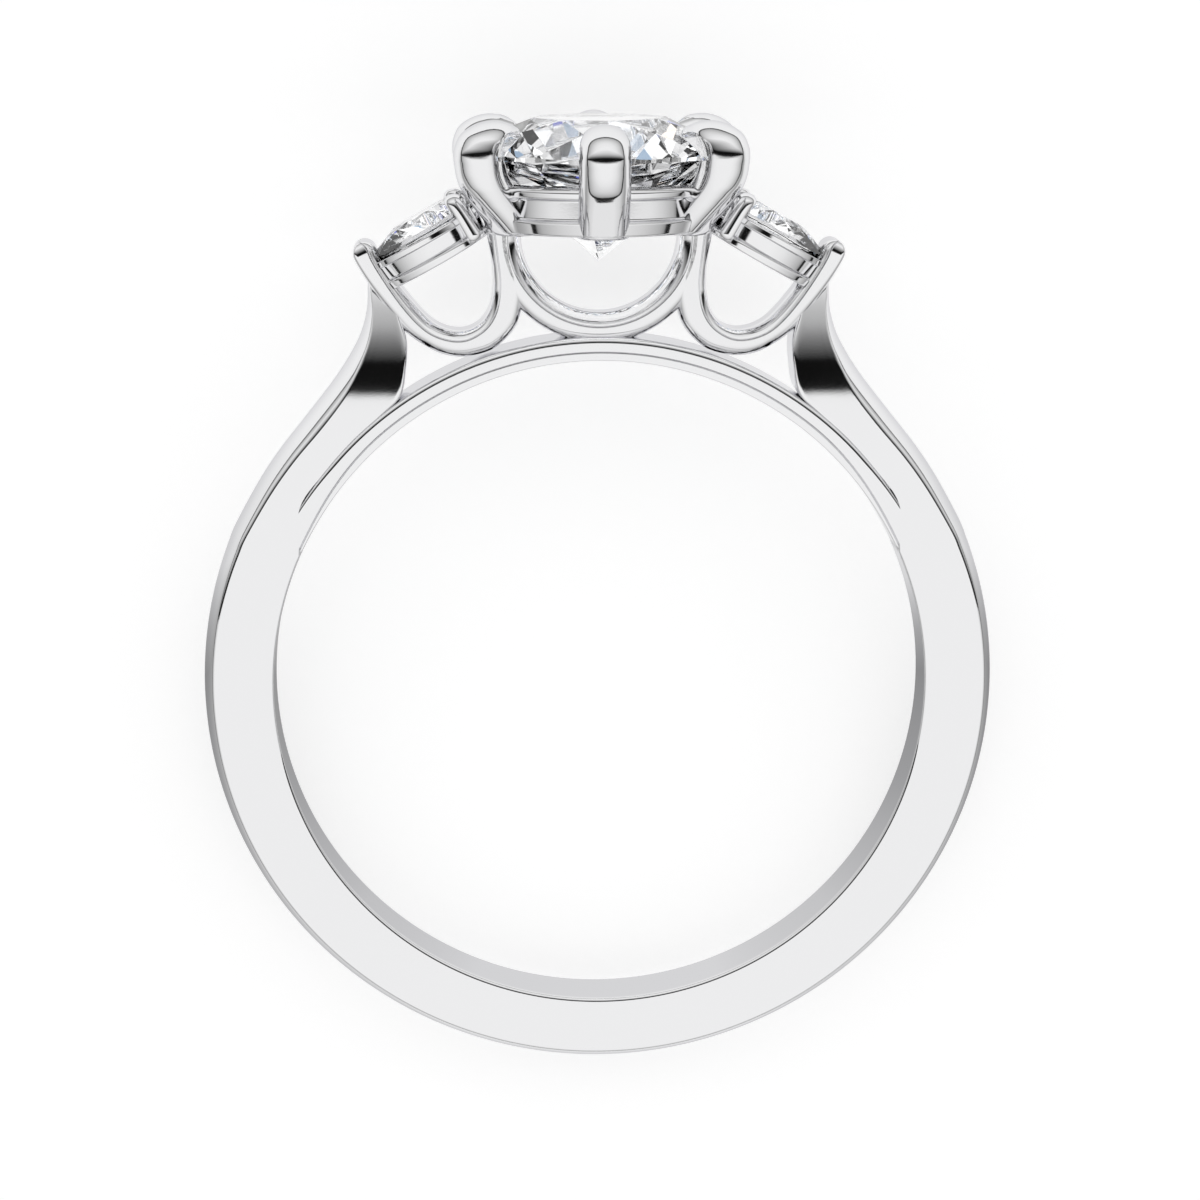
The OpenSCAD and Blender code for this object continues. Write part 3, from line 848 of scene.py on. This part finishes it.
def mirrored_card():
    """A card on the light table, greyer to the left and right of the hole. Only mirrors show it."""
    paper = bpy.data.materials.new("grey_card")
    paper.use_nodes = True
    tree = paper.node_tree
    tree.nodes.remove(tree.nodes["Principled BSDF"])
    place = add_node(tree, "ShaderNodeTexCoord").outputs["Object"]
    parts = add_node(tree, "ShaderNodeSeparateXYZ", [(place, "Vector")])
    aside = add_node(tree, "ShaderNodeMath", [(parts.outputs["X"], 0)], operation="ABSOLUTE").outputs[0]
    bearing = add_node(tree, "ShaderNodeMath", [(parts.outputs["Y"], 0), (aside, 1)], operation="DIVIDE")
    shares = ramp(tree, bearing.outputs[0], CARD_ROWS, -CARD_REACH, CARD_REACH)
    glow = add_node(tree, "ShaderNodeEmission", [(shares, "Color")])
    tree.links.new(glow.outputs[0], tree.nodes["Material Output"].inputs["Surface"])
    card = flat_sheet("grey_card", CARD_HEIGHT, paper)
    card.location = (0, HOLE["pos_m"][1], 0)
    for ray in ("camera", "diffuse", "transmission", "shadow"):
        setattr(card, "visible_" + ray, False)


def studio_world():
    """A light tent with a black flag over the head and a dark gap at the horizon."""
    world = bpy.data.worlds.new("light_tent")
    world.use_nodes = True
    tree = world.node_tree
    way = add_node(tree, "ShaderNodeTexCoord").outputs["Generated"]
    lean = add_node(tree, "ShaderNodeMath", operation="DIVIDE", links=[
        (share_along(tree, way, TO_HEAD), 0), (share_along(tree, way, ALONG_HOLE), 1)])
    sky = ramp(tree, share_along(tree, way, (0, 0, 1)), SKY_ROWS)
    flag = ramp(tree, lean.outputs[0], FLAG_ROWS, -FLAG_REACH, FLAG_REACH)
    both = add_node(tree, "ShaderNodeMix", [(sky, "A"), (flag, "B")], data_type="RGBA",
                    blend_type="MULTIPLY", Factor=1.0)
    back = tree.nodes["Background"]
    tree.links.new(both.outputs["Result"], back.inputs["Color"])
    back.inputs["Strength"].default_value = SKY_STRENGTH
    bpy.context.scene.world = world


def stone_patches():
    """A patchwork dome that only light leaving the stones meets: it gives them their fire."""
    paper = bpy.data.materials.new("patchwork_tent")
    paper.use_nodes = True
    tree = paper.node_tree
    tree.nodes.remove(tree.nodes["Principled BSDF"])
    place = add_node(tree, "ShaderNodeTexCoord").outputs["Object"]
    patches = add_node(tree, "ShaderNodeTexVoronoi", [(place, "Vector")], Scale=PATCH_SCALE)
    pick = add_node(tree, "ShaderNodeSeparateColor", [(patches.outputs["Color"], 0)]).outputs[0]
    steps = add_node(tree, "ShaderNodeValToRGB", [(pick, "Fac")])
    steps.color_ramp.interpolation = "CONSTANT"
    stops = steps.color_ramp.elements
    stops.remove(stops[0])
    for k, (share, colour) in enumerate(PATCH_ROWS):
        stop = stops.new(share) if k else stops[0]
        stop.position = share
        stop.color = linear(colour)
    glow = add_node(tree, "ShaderNodeEmission", [(steps.outputs["Color"], "Color")], Strength=PATCH_GLOW)
    tree.links.new(glow.outputs[0], tree.nodes["Material Output"].inputs["Surface"])
    work = bmesh.new()
    bmesh.ops.create_uvsphere(work, u_segments=48, v_segments=24, radius=PATCH_RADIUS)
    mesh = bpy.data.meshes.new("patchwork_tent")
    work.to_mesh(mesh)
    work.free()
    mesh.materials.append(paper)
    dome = bpy.data.objects.new("patchwork_tent", mesh)
    for ray in ("camera", "diffuse", "glossy", "shadow"):
        setattr(dome, "visible_" + ray, False)
    bpy.context.scene.collection.objects.link(dome)


def studio_lamp():
    """A large soft lamp straight above, for a faint shadow on the floor."""
    data = bpy.data.lights.new("soft_top_lamp", "AREA")
    data.shape = "DISK"
    data.size = LAMP_SIZE
    data.energy = LAMP_POWER
    lamp = bpy.data.objects.new("soft_top_lamp", data)
    lamp.location = (0, 0, LAMP_HEIGHT)
    lamp.visible_glossy = False
    lamp.visible_camera = False
    lamp.visible_transmission = False
    bpy.context.scene.collection.objects.link(lamp)


studio_floor()
mirrored_card()
studio_world()
studio_lamp()
stone_patches()
bpy.context.scene.view_settings.view_transform = "Standard"
